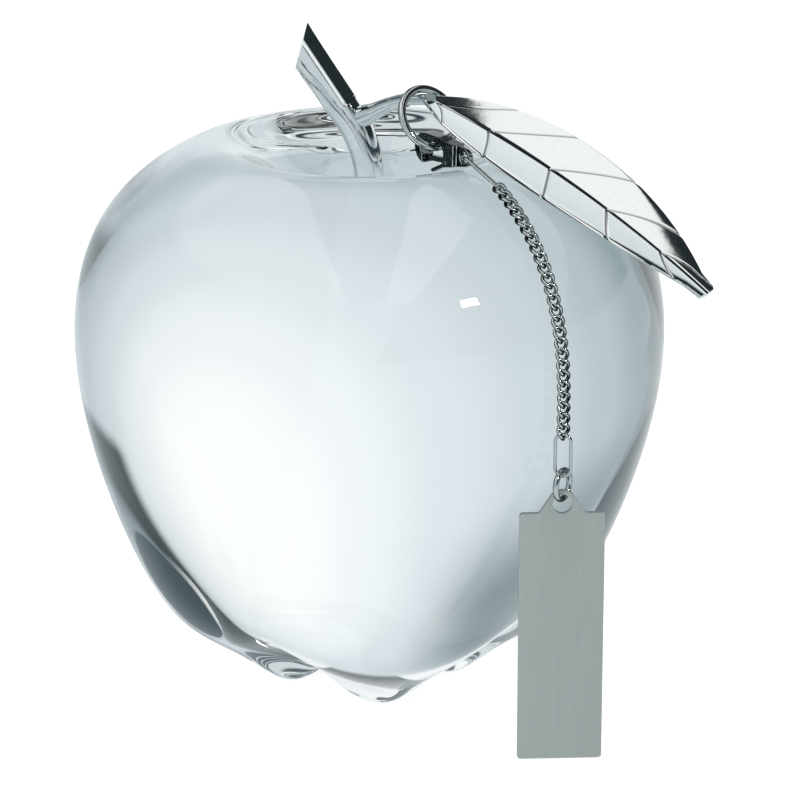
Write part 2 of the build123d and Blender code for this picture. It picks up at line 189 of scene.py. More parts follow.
def spline_curve(points: Sequence[Sequence[float]], spots: Array) -> Array:
    """Follow a smooth curve through points.

    The curve is a natural cubic spline over the running chord length: between two points it is
    the cubic whose second derivatives solve the usual three-term system, with zero at both ends.

    Args:
        points: The points, in order.
        spots: Places on the curve as running chord lengths.

    Returns:
        One point for each spot.
    """
    knots = np.asarray(points, float)
    chord = chord_lengths(points)
    step = np.diff(chord)
    count = len(knots)
    system = np.eye(count)
    right = np.zeros_like(knots)
    inner = np.arange(1, count - 1)
    system[inner, inner - 1] = step[:-1]
    system[inner, inner] = 2 * (step[:-1] + step[1:])
    system[inner, inner + 1] = step[1:]
    slope = np.diff(knots, axis=0) / step[:, None]
    right[1:-1] = 6 * np.diff(slope, axis=0)
    bend = np.linalg.solve(system, right)
    spots = np.clip(spots, 0.0, chord[-1])
    piece = np.clip(np.searchsorted(chord, spots, side="right") - 1, 0, count - 2)
    width = step[piece][:, None]
    after = (spots - chord[piece])[:, None]
    before = width - after
    curve = bend[piece] * before ** 3 / (6 * width) + bend[piece + 1] * after ** 3 / (6 * width)
    curve += (knots[piece] / width - bend[piece] * width / 6) * before
    curve += (knots[piece + 1] / width - bend[piece + 1] * width / 6) * after
    return curve


def polar(reach: float, azimuth: float, height: float) -> Array:
    """The point at a reach and an azimuth in degrees, at a height."""
    angle = math.radians(azimuth)
    return np.array([reach * math.cos(angle), reach * math.sin(angle), height])


def dress_node(node: str, finish: Any) -> None:
    """Give a CAD node that stays a better material.

    Args:
        node: The CAD node.
        finish: The Blender material.
    """
    thing = frame["nodes"][node]
    thing.data.materials.clear()
    thing.data.materials.append(finish)


class EdgeWork(Enum):
    """How the copy of a CAD piece loses its sharp edges."""

    BEVELLED = "bevelled"
    TUMBLED = "tumbled"


@dataclass
class GridMesh:
    """A surface on a grid of rows and columns, closed where asked, made into an object."""

    name: str
    grid: Array
    wrap_rows: bool = False
    wrap_columns: bool = True
    cap_start: bool = False
    cap_end: bool = False
    sharp_angle: float = 40.0
    line_depth: Optional[Array] = None

    def faces(self) -> Tuple[Array, List[List[int]], Array]:
        """Number the corners of the quads, row by row, and fan the caps to a middle point.

        Returns:
            All points, the faces and the quads alone.
        """
        rows, columns, _ = self.grid.shape
        points = self.grid.reshape(-1, 3)
        index = np.arange(rows * columns).reshape(rows, columns)
        below = np.roll(index, -1, axis=0) if self.wrap_rows else index[1:]
        here = index if self.wrap_rows else index[:-1]
        if self.wrap_columns:
            right_here, right_below = np.roll(here, -1, axis=1), np.roll(below, -1, axis=1)
            left_here, left_below = here, below
        else:
            left_here, left_below = here[:, :-1], below[:, :-1]
            right_here, right_below = here[:, 1:], below[:, 1:]
        quads = np.stack([left_here, right_here, right_below, left_below], axis=-1).reshape(-1, 4)
        faces = quads.tolist()
        for wanted, row in ((self.cap_start, 0), (self.cap_end, -1)):
            if wanted:
                points = np.concatenate([points, self.grid[row].mean(axis=0)[None]])
                ring, onward = index[row], np.roll(index[row], -1)
                edge = (onward, ring) if row == 0 else (ring, onward)
                faces += np.stack([*edge, np.full(columns, len(points) - 1)], axis=-1).tolist()
        return points, faces, quads

    def build(self, finish: Any) -> Any:
        """Write the mesh in metres, facing outwards, and dress it.

        Args:
            finish: The Blender material.

        Returns:
            The new object, at the origin.
        """
        points, faces, quads = self.faces()
        corners, middle = points[quads], points.mean(axis=0)
        volume = 0.0
        for second, third in ((1, 2), (2, 3)):
            crossed = np.cross(corners[:, second] - corners[:, 0], corners[:, third] - corners[:, 0])
            volume += np.einsum("ij,ij->i", corners[:, 0] - middle, crossed).sum()
        if volume < 0:
            faces = [face[::-1] for face in faces]
        mesh = bpy.data.meshes.new(self.name)
        mesh.from_pydata((points * MM).tolist(), [], faces)
        mesh.update()
        mesh.shade_smooth()
        mesh.set_sharp_from_angle(angle=math.radians(self.sharp_angle))
        # The line depth goes to the material, which paints shade into the sunk lines
        if self.line_depth is not None:
            depth = np.zeros(len(points), np.float32)
            depth[:self.line_depth.size] = self.line_depth.ravel()
            mesh.attributes.new("line_depth", "FLOAT", "POINT").data.foreach_set("value", depth)
        thing = bpy.data.objects.new(self.name, mesh)
        bpy.context.scene.collection.objects.link(thing)
        mesh.materials.append(finish)
        return thing


def tube(path: Array, reference: Array, radius: Any, sides: int, closed: bool) -> Array:
    """Carry a circle along a path.

    At each station the circle stands square to the path. Its first direction is the reference
    with the part along the path taken off, and its second is the cross product of the two.

    Args:
        path: The stations, one row each.
        reference: One direction for all stations, or one for each.
        radius: One radius, or one for each station.
        sides: Points on the circle.
        closed: True where the path ends where it starts.

    Returns:
        A grid of stations by sides.
    """
    if closed:
        run = np.roll(path, -1, axis=0) - np.roll(path, 1, axis=0)
    else:
        run = np.gradient(path, axis=0)
    run = unit(run)
    across = np.broadcast_to(reference, path.shape)
    across = unit(across - (across * run).sum(axis=1, keepdims=True) * run)
    over = np.cross(run, across)
    turn = np.linspace(0, 2 * math.pi, sides, endpoint=False)
    reach = np.broadcast_to(np.asarray(radius, float), (len(path),))[:, None, None]
    circle = np.cos(turn)[None, :, None] * across[:, None] + np.sin(turn)[None, :, None] * over[:, None]
    return path[:, None] + reach * circle


@dataclass(frozen=True)
class Axes:
    """A place in millimetres, with two directions and a third that is square to both."""

    origin: Array
    along: Array
    across: Array

    def place(self, local: Array) -> Array:
        """Points given as along, across and up, put in the frame."""
        up = np.cross(self.along, self.across)
        return self.origin + local @ np.stack([self.along, self.across, up])


def joints() -> List[Dict[str, Any]]:
    """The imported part's joints, from the ring down."""
    return frame["record"]["behaviour"]["joints"]


def joint_spot(name: str) -> Array:
    """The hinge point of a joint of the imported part, in millimetres."""
    return np.array(next(joint["pos_m"] for joint in joints() if joint["name"] == name)) / MM


def joint_axis(name: str) -> Array:
    """The direction of a joint's axis."""
    return np.array(next(joint["axis"] for joint in joints() if joint["name"] == name), float)


@dataclass(frozen=True)
class DressedCopy:
    """A CAD piece copied, its loose triangles merged and its edges rounded."""

    node: str
    finish: Any
    rounding: float
    work: EdgeWork = EdgeWork.BEVELLED
    weld_reach: float = 0.002
    skin_size: float = 0.07
    smooth_factor: float = 0.5
    bevel_segments: int = 3
    bevel_angle: float = 35.0

    def bevel(self, thing: Any) -> None:
        """Bevel each edge that turns by more than the bevel angle.

        Args:
            thing: The copy.
        """
        bevel = thing.modifiers.new("rounded_edges", "BEVEL")
        bevel.width = self.rounding * MM
        bevel.segments = self.bevel_segments
        bevel.limit_method = "ANGLE"
        bevel.angle_limit = math.radians(self.bevel_angle)
        bevel.harden_normals = True

    def tumble(self, thing: Any) -> None:
        """Lay an even skin of small squares over the piece and smooth it, as tumbling does.

        Args:
            thing: The copy.
        """
        skin = thing.modifiers.new("even_skin", "REMESH")
        skin.mode = "VOXEL"
        skin.voxel_size = self.skin_size * MM
        skin.use_smooth_shade = True
        tumbled = thing.modifiers.new("tumbled_edges", "SMOOTH")
        tumbled.factor = self.smooth_factor
        tumbled.iterations = int(round(self.rounding / self.skin_size))

    def build(self) -> Any:
        """Make the copy and let it stand for the node.

        Returns:
            The new object, at the origin.
        """
        source = frame["nodes"][self.node]
        mesh = source.data.copy()
        mesh.name = self.node + "_finished"
        thing = bpy.data.objects.new(mesh.name, mesh)
        bpy.context.scene.collection.objects.link(thing)
        mesh.transform(source.matrix_world)
        mesh.materials.clear()
        mesh.materials.append(self.finish)
        weld = thing.modifiers.new("weld", "WELD")
        weld.merge_threshold = self.weld_reach * MM
        if self.work is EdgeWork.TUMBLED:
            self.tumble(thing)
        else:
            self.bevel(thing)
        mesh.shade_smooth()
        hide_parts(self.node)
        return thing


@dataclass(frozen=True)
class ClearGlass:
    """Lead-free crystal, cast solid and fire polished: clear, with very faint flow waves."""

    tint: str = "FCFEFE"
    ior: float = 1.52
    wave_size: float = 18.0
    wave_depth: float = 0.012
    wave_detail: float = 1.0
    wave_roughness: float = 0.4
    deepest_path: float = 4.5
    deep_heights: Tuple[float, float] = (60.0, 78.0)
    painted_glow_low: str = "35434A"
    painted_glow_high: str = "D3DBDE"

    def build(self) -> Any:
        """Make the glass. Broad noise bends the surface by a hundredth of a millimetre.

        A ray that has turned back inside more often than the deepest path stops there, and the glass
        glows with a painted tone in its place: the mean light that such rays end in, the pale table's in
        the upper part, the dark room's near the base.

        Returns:
            The Blender material.
        """
        material, tree, output = new_material("crystal_cast_polished")
        place = add_node(tree, "ShaderNodeTexCoord").outputs["Object"]
        flow = surface_noise(tree, place, 1 / (self.wave_size * MM), self.wave_detail, self.wave_roughness)
        glass = add_node(
            tree, "ShaderNodeBsdfPrincipled", Base_Color=linear(self.tint), Roughness=0.0,
            IOR=self.ior, Transmission_Weight=1.0, Normal=bumped(tree, flow, self.wave_depth),
        )
        # Painted glow for trapped rays: a painted light tone, darker near the base and paler above
        height = add_node(tree, "ShaderNodeSeparateXYZ", Vector=place).outputs["Z"]
        low, high = self.deep_heights
        level = smooth_step(tree, height, (low * MM, high * MM))
        mean = colour_mix(tree, level, linear(self.painted_glow_low), linear(self.painted_glow_high))
        painted_glow = add_node(tree, "ShaderNodeEmission", Color=mean, Strength=1.0)
        path = add_node(tree, "ShaderNodeLightPath")
        deep = add_node(
            tree, "ShaderNodeMath", {"operation": "GREATER_THAN"},
            s0=path.outputs["Ray Depth"], s1=self.deepest_path,
        )
        mix = add_node(
            tree, "ShaderNodeMixShader", s0=deep.outputs["Value"], s1=glass.outputs["BSDF"],
            s2=painted_glow.outputs["Emission"],
        )
        tree.links.new(mix.outputs["Shader"], output.inputs["Surface"])
        return material


@dataclass(frozen=True)
class PlatedMetal:
    """Cast or drawn metal with bright nickel plating: a dark mirror with faint polishing marks."""

    name: str
    colour: str
    shade: str
    roughness: float
    mark_size: float = 0.9
    mark_depth: float = 0.004
    mark_detail: float = 3.0
    mark_roughness: float = 0.6
    painted_line_shade: str = "1E2426"
    painted_side_shade: Optional[str] = None
    side_facing: Tuple[float, float] = (0.10, 0.34)
    rough_spread: Tuple[float, float] = (0.6, 1.5)

    def build(self) -> Any:
        """Make the metal. Fine noise varies the colour and roughness as polishing does.

        Where the mesh has sunk lines, painted shade darkens the metal in them. On small linked wire the
        parts that turn away are darkened too, with painted shade, since neighbours mirror each other there
        many times.

        Returns:
            The Blender material.
        """
        material, tree, output = new_material(self.name)
        place = add_node(tree, "ShaderNodeTexCoord").outputs["Object"]
        marks = surface_noise(tree, place, 1 / (self.mark_size * MM), self.mark_detail, self.mark_roughness)
        tone = colour_mix(tree, marks, linear(self.shade), linear(self.colour))
        low, high = self.rough_spread
        rough = add_node(
            tree, "ShaderNodeMapRange", Value=marks,
            To_Min=self.roughness * low, To_Max=self.roughness * high,
        )
        # Painted shade: the metal is darker in the sunk lines, by the line depth
        line = add_node(tree, "ShaderNodeAttribute", {"attribute_name": "line_depth"}).outputs["Fac"]
        base = colour_mix(tree, line, tone, linear(self.painted_line_shade))
        if self.painted_side_shade is not None:
            # Painted shade: the sides that turn away from the view get a darker base colour
            facing = add_node(tree, "ShaderNodeLayerWeight", Blend=0.5).outputs["Facing"]
            turned = smooth_step(tree, facing, self.side_facing)
            base = colour_mix(tree, turned, base, linear(self.painted_side_shade))
        metal = add_node(
            tree, "ShaderNodeBsdfPrincipled", Metallic=1.0, Base_Color=base,
            Roughness=rough.outputs["Result"], Normal=bumped(tree, marks, self.mark_depth),
        )
        tree.links.new(metal.outputs["BSDF"], output.inputs["Surface"])
        return material


@dataclass(frozen=True)
class SatinPlate:
    """Aluminium sheet with a fine upright brushed grain, under a thin clear lacquer.

    The grain spreads its highlights sideways, and the lacquer evens out its tone.
    """

    colour: str = "9FA6A4"
    shade: str = "929A98"
    roughness: float = 0.34
    grain_width: float = 0.16
    grain_length: float = 7.0
    grain_depth: float = 0.003
    grain_strength: float = 0.6
    grain_detail: float = 2.0
    metal_share: float = 0.35
    rough_spread: Tuple[float, float] = (0.85, 1.2)

    def build(self) -> Any:
        """Make the plate. Noise stretched along the plate's height draws the brushed lines.

        Returns:
            The Blender material.
        """
        material, tree, output = new_material("aluminium_satin_brushed")
        place = add_node(tree, "ShaderNodeTexCoord").outputs["Object"]
        across, along = 1 / (self.grain_width * MM), 1 / (self.grain_length * MM)
        stretch = add_node(tree, "ShaderNodeMapping", Vector=place, Scale=(across, across, along))
        grain = surface_noise(tree, stretch.outputs["Vector"], 1.0, self.grain_detail)
        low, high = self.rough_spread
        rough = add_node(
            tree, "ShaderNodeMapRange", Value=grain,
            To_Min=self.roughness * low, To_Max=self.roughness * high,
        )
        metal = add_node(
            tree, "ShaderNodeBsdfPrincipled", Metallic=self.metal_share,
            Base_Color=colour_mix(tree, grain, linear(self.shade), linear(self.colour)),
            Roughness=rough.outputs["Result"],
            Normal=bumped(tree, grain, self.grain_depth, self.grain_strength),
        )
        tree.links.new(metal.outputs["BSDF"], output.inputs["Surface"])
        return material


@dataclass
class GlassBody:
    """The solid glass: a profile turned round the axis, pressed into four lobes at the base."""

    finish: Any
    dimple: Tuple[Tuple[float, float], ...] = ((3.2, 76.3), (10.0, 77.5), (15.6, 81.5))
    rim: Tuple[float, float] = (22.4, 85.2)
    shoulder: Tuple[Tuple[float, float], ...] = ((30.31, 82.81), (40.05, 74.2), (44.0, 64.99))
    widest: Tuple[float, float] = (45.0, 55.7)
    flank: Tuple[Tuple[float, float], ...] = ((42.39, 38.1), (37.3, 23.51), (29.09, 10.3), (19.51, 3.68))
    foot: Tuple[float, float] = (11.5, -0.15)
    hollow: Tuple[Tuple[float, float], ...] = ((7.25, 2.7), (3.0, 5.4))
    lobe_count: int = 4
    lobe_turn: float = 8.0
    valley_share: float = 0.24
    valley_rise: float = 6.8
    valley_softness: float = 0.3
    valley_power: float = 1.5
    rows: int = 230
    columns: int = 384
    sharp_angle: float = 80.0

    def axis(self) -> Array:
        """The apple's axis: the middle of the CAD node's box, seen from above."""
        low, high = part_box("glass_apple")
        return np.array([(low[0] + high[0]) / 2, (low[1] + high[1]) / 2]) / MM

    def surface(self) -> Array:
        """Work out the glass surface.

        The profile gives a radius and a height for each row. Below the widest point a valley term
        grows from 0 to 1 at the feet and fades again towards the middle of the base. It draws the
        radius in and lifts the height where the wave of the lobes is near zero.

        Returns:
            Rows from the dimple floor to the base hollow, by columns round the axis.
        """
        knots = [*self.dimple, self.rim, *self.shoulder, self.widest, *self.flank, self.foot, *self.hollow]
        chord = chord_lengths(knots)
        widest, foot = chord[knots.index(self.widest)], chord[knots.index(self.foot)]
        spots = np.linspace(0, chord[-1], self.rows)
        radius, height = spline_curve(knots, spots).T
        falling = np.clip((spots - widest) / (foot - widest), 0, 1) ** self.valley_power
        fading = np.clip((chord[-1] - spots) / (chord[-1] - foot), 0, 1)
        weight = np.where(spots < foot, falling, fading)[:, None]
        turn = np.linspace(0, 2 * math.pi, self.columns, endpoint=False)
        wave = np.cos(turn * self.lobe_count / 2)
        soft = self.valley_softness ** 2
        valley = (1 - np.sqrt((wave ** 2 + soft) / (1 + soft)))[None]
        reach = radius[:, None] * (1 - self.valley_share * weight * valley)
        level = height[:, None] + self.valley_rise * weight ** self.valley_power * valley
        level = np.clip(level, 0.0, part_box("glass_apple")[1][2] / MM)
        azimuth = turn[None] - math.pi / 2 + math.radians(self.lobe_turn)
        middle = self.axis()
        east, north = middle[0] + reach * np.cos(azimuth), middle[1] + reach * np.sin(azimuth)
        return np.stack([east, north, level], axis=-1)

    def build(self) -> None:
        """Make the glass and let it stand for the CAD node."""
        glass = GridMesh(
            "glass_apple_polished", self.surface(), cap_start=True, cap_end=True, sharp_angle=self.sharp_angle
        ).build(self.finish)
        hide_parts("glass_apple")
        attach(glass, "apple")
        LOG.info("glass body: %d faces", len(glass.data.polygons))


@dataclass
class Stem:
    """The cast stem: a trunk with a hollow flute and an oblique end, and a side twig."""

    finish: Any
    axis: Array
    floor: float = 76.3
    foot_radius: float = 2.2
    middle_radius: float = 2.45
    top_radius: float = 2.75
    peg_depth: float = 6.0
    lean: float = 11.8
    rise: float = 26.3
    lean_shares: Tuple[float, ...] = (0.0, 0.07, 0.21, 0.35, 0.60, 0.82, 1.0)
    rise_shares: Tuple[float, ...] = (0.145, 0.305, 0.453, 0.553, 0.722, 0.871, 1.0)
    low_radius_shares: Tuple[float, ...] = (0.2, 0.6, 1.0)
    high_radius_shares: Tuple[float, ...] = (0.3, 0.55, 0.8, 1.0)
    fork_knot: int = 5
    straight_knots: int = 4
    least_wall: float = 0.35
    flute_radius: float = 6.0
    flute_floor: float = 1.25
    flute_turn: float = 28.4
    tip: Tuple[float, float] = (9.3, 26.9)
    heel: Tuple[float, float] = (11.1, 20.4)
    twig_azimuth: float = -53.0
    twig_reach: float = 9.2
    twig_root: Tuple[float, float] = (2.0, 12.5)
    twig_end_rise: float = 17.0
    twig_reach_shares: Tuple[float, ...] = (0.35, 0.72)
    twig_rise_shares: Tuple[float, ...] = (0.36, 0.78)
    twig_radii: Tuple[float, ...] = (2.0, 1.35, 1.05, 1.05)
    rows: int = 220
    sides: int = 144
    twig_rows: int = 70
    twig_sides: int = 64
    sharp_angle: float = 35.0

    def base(self) -> Array:
        """The foot of the stem, on the dimple floor."""
        return np.array([self.axis[0], self.axis[1], self.floor])

    def trunk_points(self) -> List[Array]:
        """Lay out the middle line of the trunk.

        Returns:
            Its points, from the end of the peg.
        """
        base = self.base()
        points = [base - np.array([0, 0, self.peg_depth]), base]
        for lean, rise in zip(self.lean_shares, self.rise_shares):
            points.append(base + np.array([-self.lean * lean, 0, self.rise * rise]))
        return points

    def trunk_radii(self) -> List[float]:
        """Give each point of the middle line a radius: the foot's, then two straight growths.

        Returns:
            The radii, in the points' order.
        """
        low = np.interp(self.low_radius_shares, (0, 1), (self.foot_radius, self.middle_radius))
        high = np.interp(self.high_radius_shares, (0, 1), (self.middle_radius, self.top_radius))
        return [self.foot_radius] * 2 + low.tolist() + high.tolist()

    def flute_cut(self, path: Array, rays: Array, side: Array, run: Array, fork: Array) -> Array:
        """Work out how far each ray may reach before it meets the flute.

        The flute is a cylinder along the trunk's upper line. With the part along that line taken
        off, the distance along a ray to the cylinder is the smaller root of the usual square
        equation of a line and a circle.

        Args:
            path: The stations of the middle line.
            rays: Directions of the rays, stations by sides.
            side: The direction in which the flute opens.
            run: The direction of the upper line.
            fork: The point above which the flute is cut.

        Returns:
            The reach of each ray, endless where the flute doesn't cut.
        """
        origin = fork + side * (self.flute_floor + self.flute_radius)
        start = path[:, None] - origin
        start = start - (start @ run)[..., None] * run
        flat_rays = rays - (rays @ run)[..., None] * run
        square = (flat_rays ** 2).sum(axis=-1)
        half = (start * flat_rays).sum(axis=-1)
        inside = half ** 2 - square * ((start ** 2).sum(axis=-1) - self.flute_radius ** 2)
        reach = (-half - np.sqrt(np.maximum(inside, 0))) / np.maximum(square, TINY)
        meets = (inside > 0) & (reach > 0) & (((path - origin) @ run)[:, None] > 0)
        return np.where(meets, np.maximum(reach, self.least_wall), np.inf)

    def cut_end(self, grid: Array, run: Array) -> Array:
        """Slide what lies past the oblique end back along the trunk, into the end's plane.

        Args:
            grid: The trunk's points.
            run: The direction of the upper line.

        Returns:
            The points, none of them beyond the plane or above the CAD stem.
        """
        high = self.base() + np.array([-self.tip[0], 0, self.tip[1]])
        low = self.base() + np.array([-self.heel[0], 0, self.heel[1]])
        edge = unit(high - low)
        out = np.array([-edge[2], 0, edge[0]])
        slide = np.maximum((grid - low) @ out, 0) / max(float(run @ out), TINY)
        grid = grid - slide[..., None] * run
        grid[..., 2] = np.minimum(grid[..., 2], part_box("stem")[1][2] / MM)
        return grid

    def trunk(self) -> Array:
        """Work out the trunk: a circle along the middle line, cut by the flute and the oblique end.

        Returns:
            Rows from the peg's end to the tip, by sides round the line.
        """
        points = self.trunk_points()
        chord = chord_lengths(points)
        spots = np.linspace(0, chord[-1], self.rows)
        path = spline_curve(points, spots)
        radius = np.interp(spots, chord, self.trunk_radii())
        run = unit(points[-1] - points[-self.straight_knots])
        tilt = math.radians(self.flute_turn)
        side = np.array([run[2], 0, -run[0]]) * math.cos(tilt) - np.array([0, math.sin(tilt), 0])
        run_here = unit(np.gradient(path, axis=0))
        first = unit(side - (run_here * side).sum(axis=1, keepdims=True) * run_here)
        second = np.cross(run_here, first)
        turn = np.linspace(0, 2 * math.pi, self.sides, endpoint=False)
        rays = np.cos(turn)[None, :, None] * first[:, None] + np.sin(turn)[None, :, None] * second[:, None]
        cut = self.flute_cut(path, rays, side, run, points[self.fork_knot])
        grid = path[:, None] + rays * np.minimum(radius[:, None], cut)[..., None]
        return self.cut_end(grid, run)

    def twig(self) -> Array:
        """Carry a shrinking circle along the twig's smooth line.

        Returns:
            Rows from inside the trunk to the twig's end, by sides round the line.
        """
        start = self.base() + np.array([-self.twig_root[0], 0, self.twig_root[1]])
        end = self.base() + polar(self.twig_reach, self.twig_azimuth, self.twig_end_rise)
        points = [start]
        for reach, rise in zip(self.twig_reach_shares, self.twig_rise_shares):
            level = start + (end - start) * reach
            level[2] = start[2] + (end[2] - start[2]) * rise
            points.append(level)
        points.append(end)
        chord = chord_lengths(points)
        spots = np.linspace(0, chord[-1], self.twig_rows)
        radius = np.interp(spots, chord, self.twig_radii)
        across = polar(1.0, self.twig_azimuth - 90, 0)
        return tube(spline_curve(points, spots), across, radius, self.twig_sides, False)

    def build(self) -> None:
        """Make the trunk and the twig, which together stand for the CAD stem."""
        trunk = GridMesh(
            "stem_trunk", self.trunk(), cap_start=True, cap_end=True, sharp_angle=self.sharp_angle
        )
        twig = GridMesh("stem_twig", self.twig(), cap_start=True, cap_end=True)
        for surface in (trunk, twig):
            piece = surface.build(self.finish)
            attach(piece, "apple")
            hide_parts("stem")
        LOG.info("stem: trunk and twig")


@dataclass
class Leaf:
    """The cast leaf: a drooping shallow V with sunk veins, on a round stalk."""

    finish: Any
    axis: Array
    stem_floor: float = 76.3
    twig_reach: float = 9.2
    twig_azimuth: float = -53.0
    twig_rise: float = 17.0
    stalk_reach: float = 4.8
    stalk_rise: float = 0.9
    azimuth: float = -33.5
    length: float = 54.0
    half_width: float = 9.0
    thickness: float = 0.8
    dip_root: float = 17.0
    dip_tip: float = 34.0
    roll: float = 8.6
    fold: float = 10.4
    root_power: float = 0.70
    tip_power: float = 0.90
    root_width: float = 0.9
    tip_width: float = 0.4
    tip_trim: float = 0.95
    stations: int = 11
    stalk_radius: float = 0.85
    vein_starts: Tuple[float, ...] = (0.03, 0.21, 0.42, 0.62, 0.81)
    vein_lead_rear: float = 0.19
    vein_lead_front: float = 0.085
    vein_width: float = 0.20
    vein_depth: float = 0.16
    vein_slant: float = 40.0
    vein_gap: float = 0.05
    last_field_end: float = 1.2
    field_height: float = 0.03
    field_power: float = 0.7
    edge_power: float = 0.35
    smooth_share: float = 0.65
    stalk_overlap: float = 1.2
    rows: int = 420
    columns: int = 150
    stalk_rows: int = 24
    stalk_sides: int = 48
    sharp_angle: float = 50.0

    def root(self) -> Array:
        """Where the blade starts."""
        height = self.stem_floor + self.twig_rise + self.stalk_rise
        spot = polar(self.twig_reach + self.stalk_reach, self.twig_azimuth, height)
        return spot + np.array([*self.axis, 0])

    def width(self, share: Array) -> Array:
        """Work out the half width along the blade.

        At the marks it is the share to one power times its rest to another, scaled to a peak of
        one. Between them straight lines are blended with a smooth curve through the marks.

        Args:
            share: Places on the blade, from 0 at the root to 1 at the tip.

        Returns:
            The half width at each place.
        """
        peak = self.root_power / (self.root_power + self.tip_power)
        top = peak ** self.root_power * (1 - peak) ** self.tip_power
        marks = np.arange(1, self.stations) / self.stations
        shape = self.half_width * marks ** self.root_power * (1 - marks) ** self.tip_power / top
        knots = np.concatenate([[0.0], marks, [1.0]])
        values = np.concatenate([[self.root_width], shape, [self.tip_width]])
        spots = share * self.length
        curve = spline_curve(np.stack([knots * self.length, values], axis=1), spots)
        smooth = np.interp(spots, curve[:, 0], curve[:, 1])
        return np.interp(share, knots, values) * (1 - self.smooth_share) + smooth * self.smooth_share

    def middle_line(self, share: Array) -> Tuple[Array, Array, Array, Array]:
        """Work out the middle line, an arc that dips more towards the tip, and its directions.

        Args:
            share: Places on the blade, from 0 at the root to 1 at the tip.

        Returns:
            At each place the point, the normal, and the directions of the rear and front wings.
        """
        low, bend = math.radians(self.dip_root), math.radians(self.dip_tip - self.dip_root)
        radius = self.length / bend
        dip = low + bend * share
        forward = polar(1.0, self.azimuth, 0)
        side = polar(1.0, self.azimuth - 90, 0)
        up = np.array([0, 0, 1.0])
        place = self.root() + radius * (np.sin(dip) - math.sin(low))[:, None] * forward
        place = place - radius * (math.cos(low) - np.cos(dip))[:, None] * up
        normal = np.sin(dip)[:, None] * forward + np.cos(dip)[:, None] * up
        rear_turn, front_turn = math.radians(self.fold + self.roll), math.radians(self.fold - self.roll)
        rear = -side * math.cos(rear_turn) + normal * math.sin(rear_turn)
        front = side * math.cos(front_turn) + normal * math.sin(front_turn)
        return place, normal, rear, front

    def veins(self, share: Array, lead: Array) -> Tuple[Array, Array]:
        """Work out the veins and the fields between them.

        A vein is a bell curve of the distance to its line, a field half a sine wave between two.

        Args:
            share: Places on the blade, from 0 at the root to 1 at the tip.
            lead: How far the veins run ahead at each point of the section.

        Returns:
            The veins' and the fields' strength, stations by points round the section.
        """
        veins = np.zeros((self.rows, lead.shape[1]))
        fields = np.zeros_like(veins)
        steps = [*self.vein_starts, self.last_field_end]
        for start, following in zip(steps[:-1], steps[1:]):
            ahead = share[:, None] - start - lead
            off = ahead * self.length * math.cos(math.radians(self.vein_slant))
            veins += np.exp(-(off / self.vein_width) ** 2)
            fields += np.sin(math.pi * np.clip(ahead / (following - start), 0, 1))
        return veins, fields

    def blade(self) -> Tuple[Array, Array]:
        """Work out the blade.

        At each station two flat wings rise from the middle line by the fold, and the roll turns
        both. A loop runs over the top from the rear edge to the front edge and back underneath.
        On top the veins are sunk and the fields between them slightly raised.

        Returns:
            Stations from root to tip by points round the section, and how deep in a vein each
            point lies, from 0 to 1.
        """
        share = np.linspace(0, 1 - self.tip_trim / self.length, self.rows)
        place, normal, rear, front = self.middle_line(share)
        half = self.columns // 2
        top = np.linspace(-1, 1, half)
        loop = np.concatenate([top, top[::-1]])
        is_top = np.repeat([1.0, 0.0], half)[None]
        wing = np.abs(loop)[None]
        reach = wing * self.width(share)[:, None]
        direction = np.where((loop < 0)[None, :, None], rear[:, None], front[:, None])
        edge = np.sqrt(1 - wing ** 2) ** self.edge_power
        lift = self.thickness / 2 * edge
        lead = np.where(loop < 0, self.vein_lead_rear, self.vein_lead_front)[None] * wing
        veins, fields = self.veins(share, lead)
        middle = np.exp(-(reach / self.vein_width) ** 2)
        sunk = np.maximum(np.clip(veins, 0, 1) * (reach > self.vein_gap), middle)
        raised = self.field_height * (fields * np.sin(math.pi * wing) ** self.field_power - 1)
        face = is_top * (lift - self.vein_depth * sunk * edge + raised) - (1 - is_top) * lift
        points = place[:, None] + direction * reach[..., None] + normal[:, None] * face[..., None]
        points[..., 0] = np.minimum(points[..., 0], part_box("leaf")[1][0] / MM)
        # The second value is where the metal gets painted shade in the sunk veins
        return points, is_top * sunk ** 2

    def stalk(self) -> Array:
        """Carry a circle along the stalk.

        Returns:
            Rows from the twig's end to a little inside the blade, by sides round the line.
        """
        start = polar(self.twig_reach, self.twig_azimuth, self.stem_floor + self.twig_rise)
        start = start + np.array([*self.axis, 0])
        end = self.root()
        way = end + unit(end - start) * self.stalk_overlap - start
        path = start + np.linspace(0, 1, self.stalk_rows)[:, None] * way
        return tube(path, np.array([0, 0, 1.0]), self.stalk_radius, self.stalk_sides, False)

    def build(self) -> None:
        """Make the blade and its stalk, which stand for the CAD leaf."""
        points, depth = self.blade()
        blade = GridMesh(
            "leaf_blade", points, cap_start=True, cap_end=True, sharp_angle=self.sharp_angle, line_depth=depth
        ).build(self.finish)
        stalk = GridMesh("leaf_stalk", self.stalk(), cap_start=True, cap_end=True).build(self.finish)
        for piece in (blade, stalk):
            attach(piece, "apple")
            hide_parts("leaf")
        LOG.info("leaf: blade and stalk")


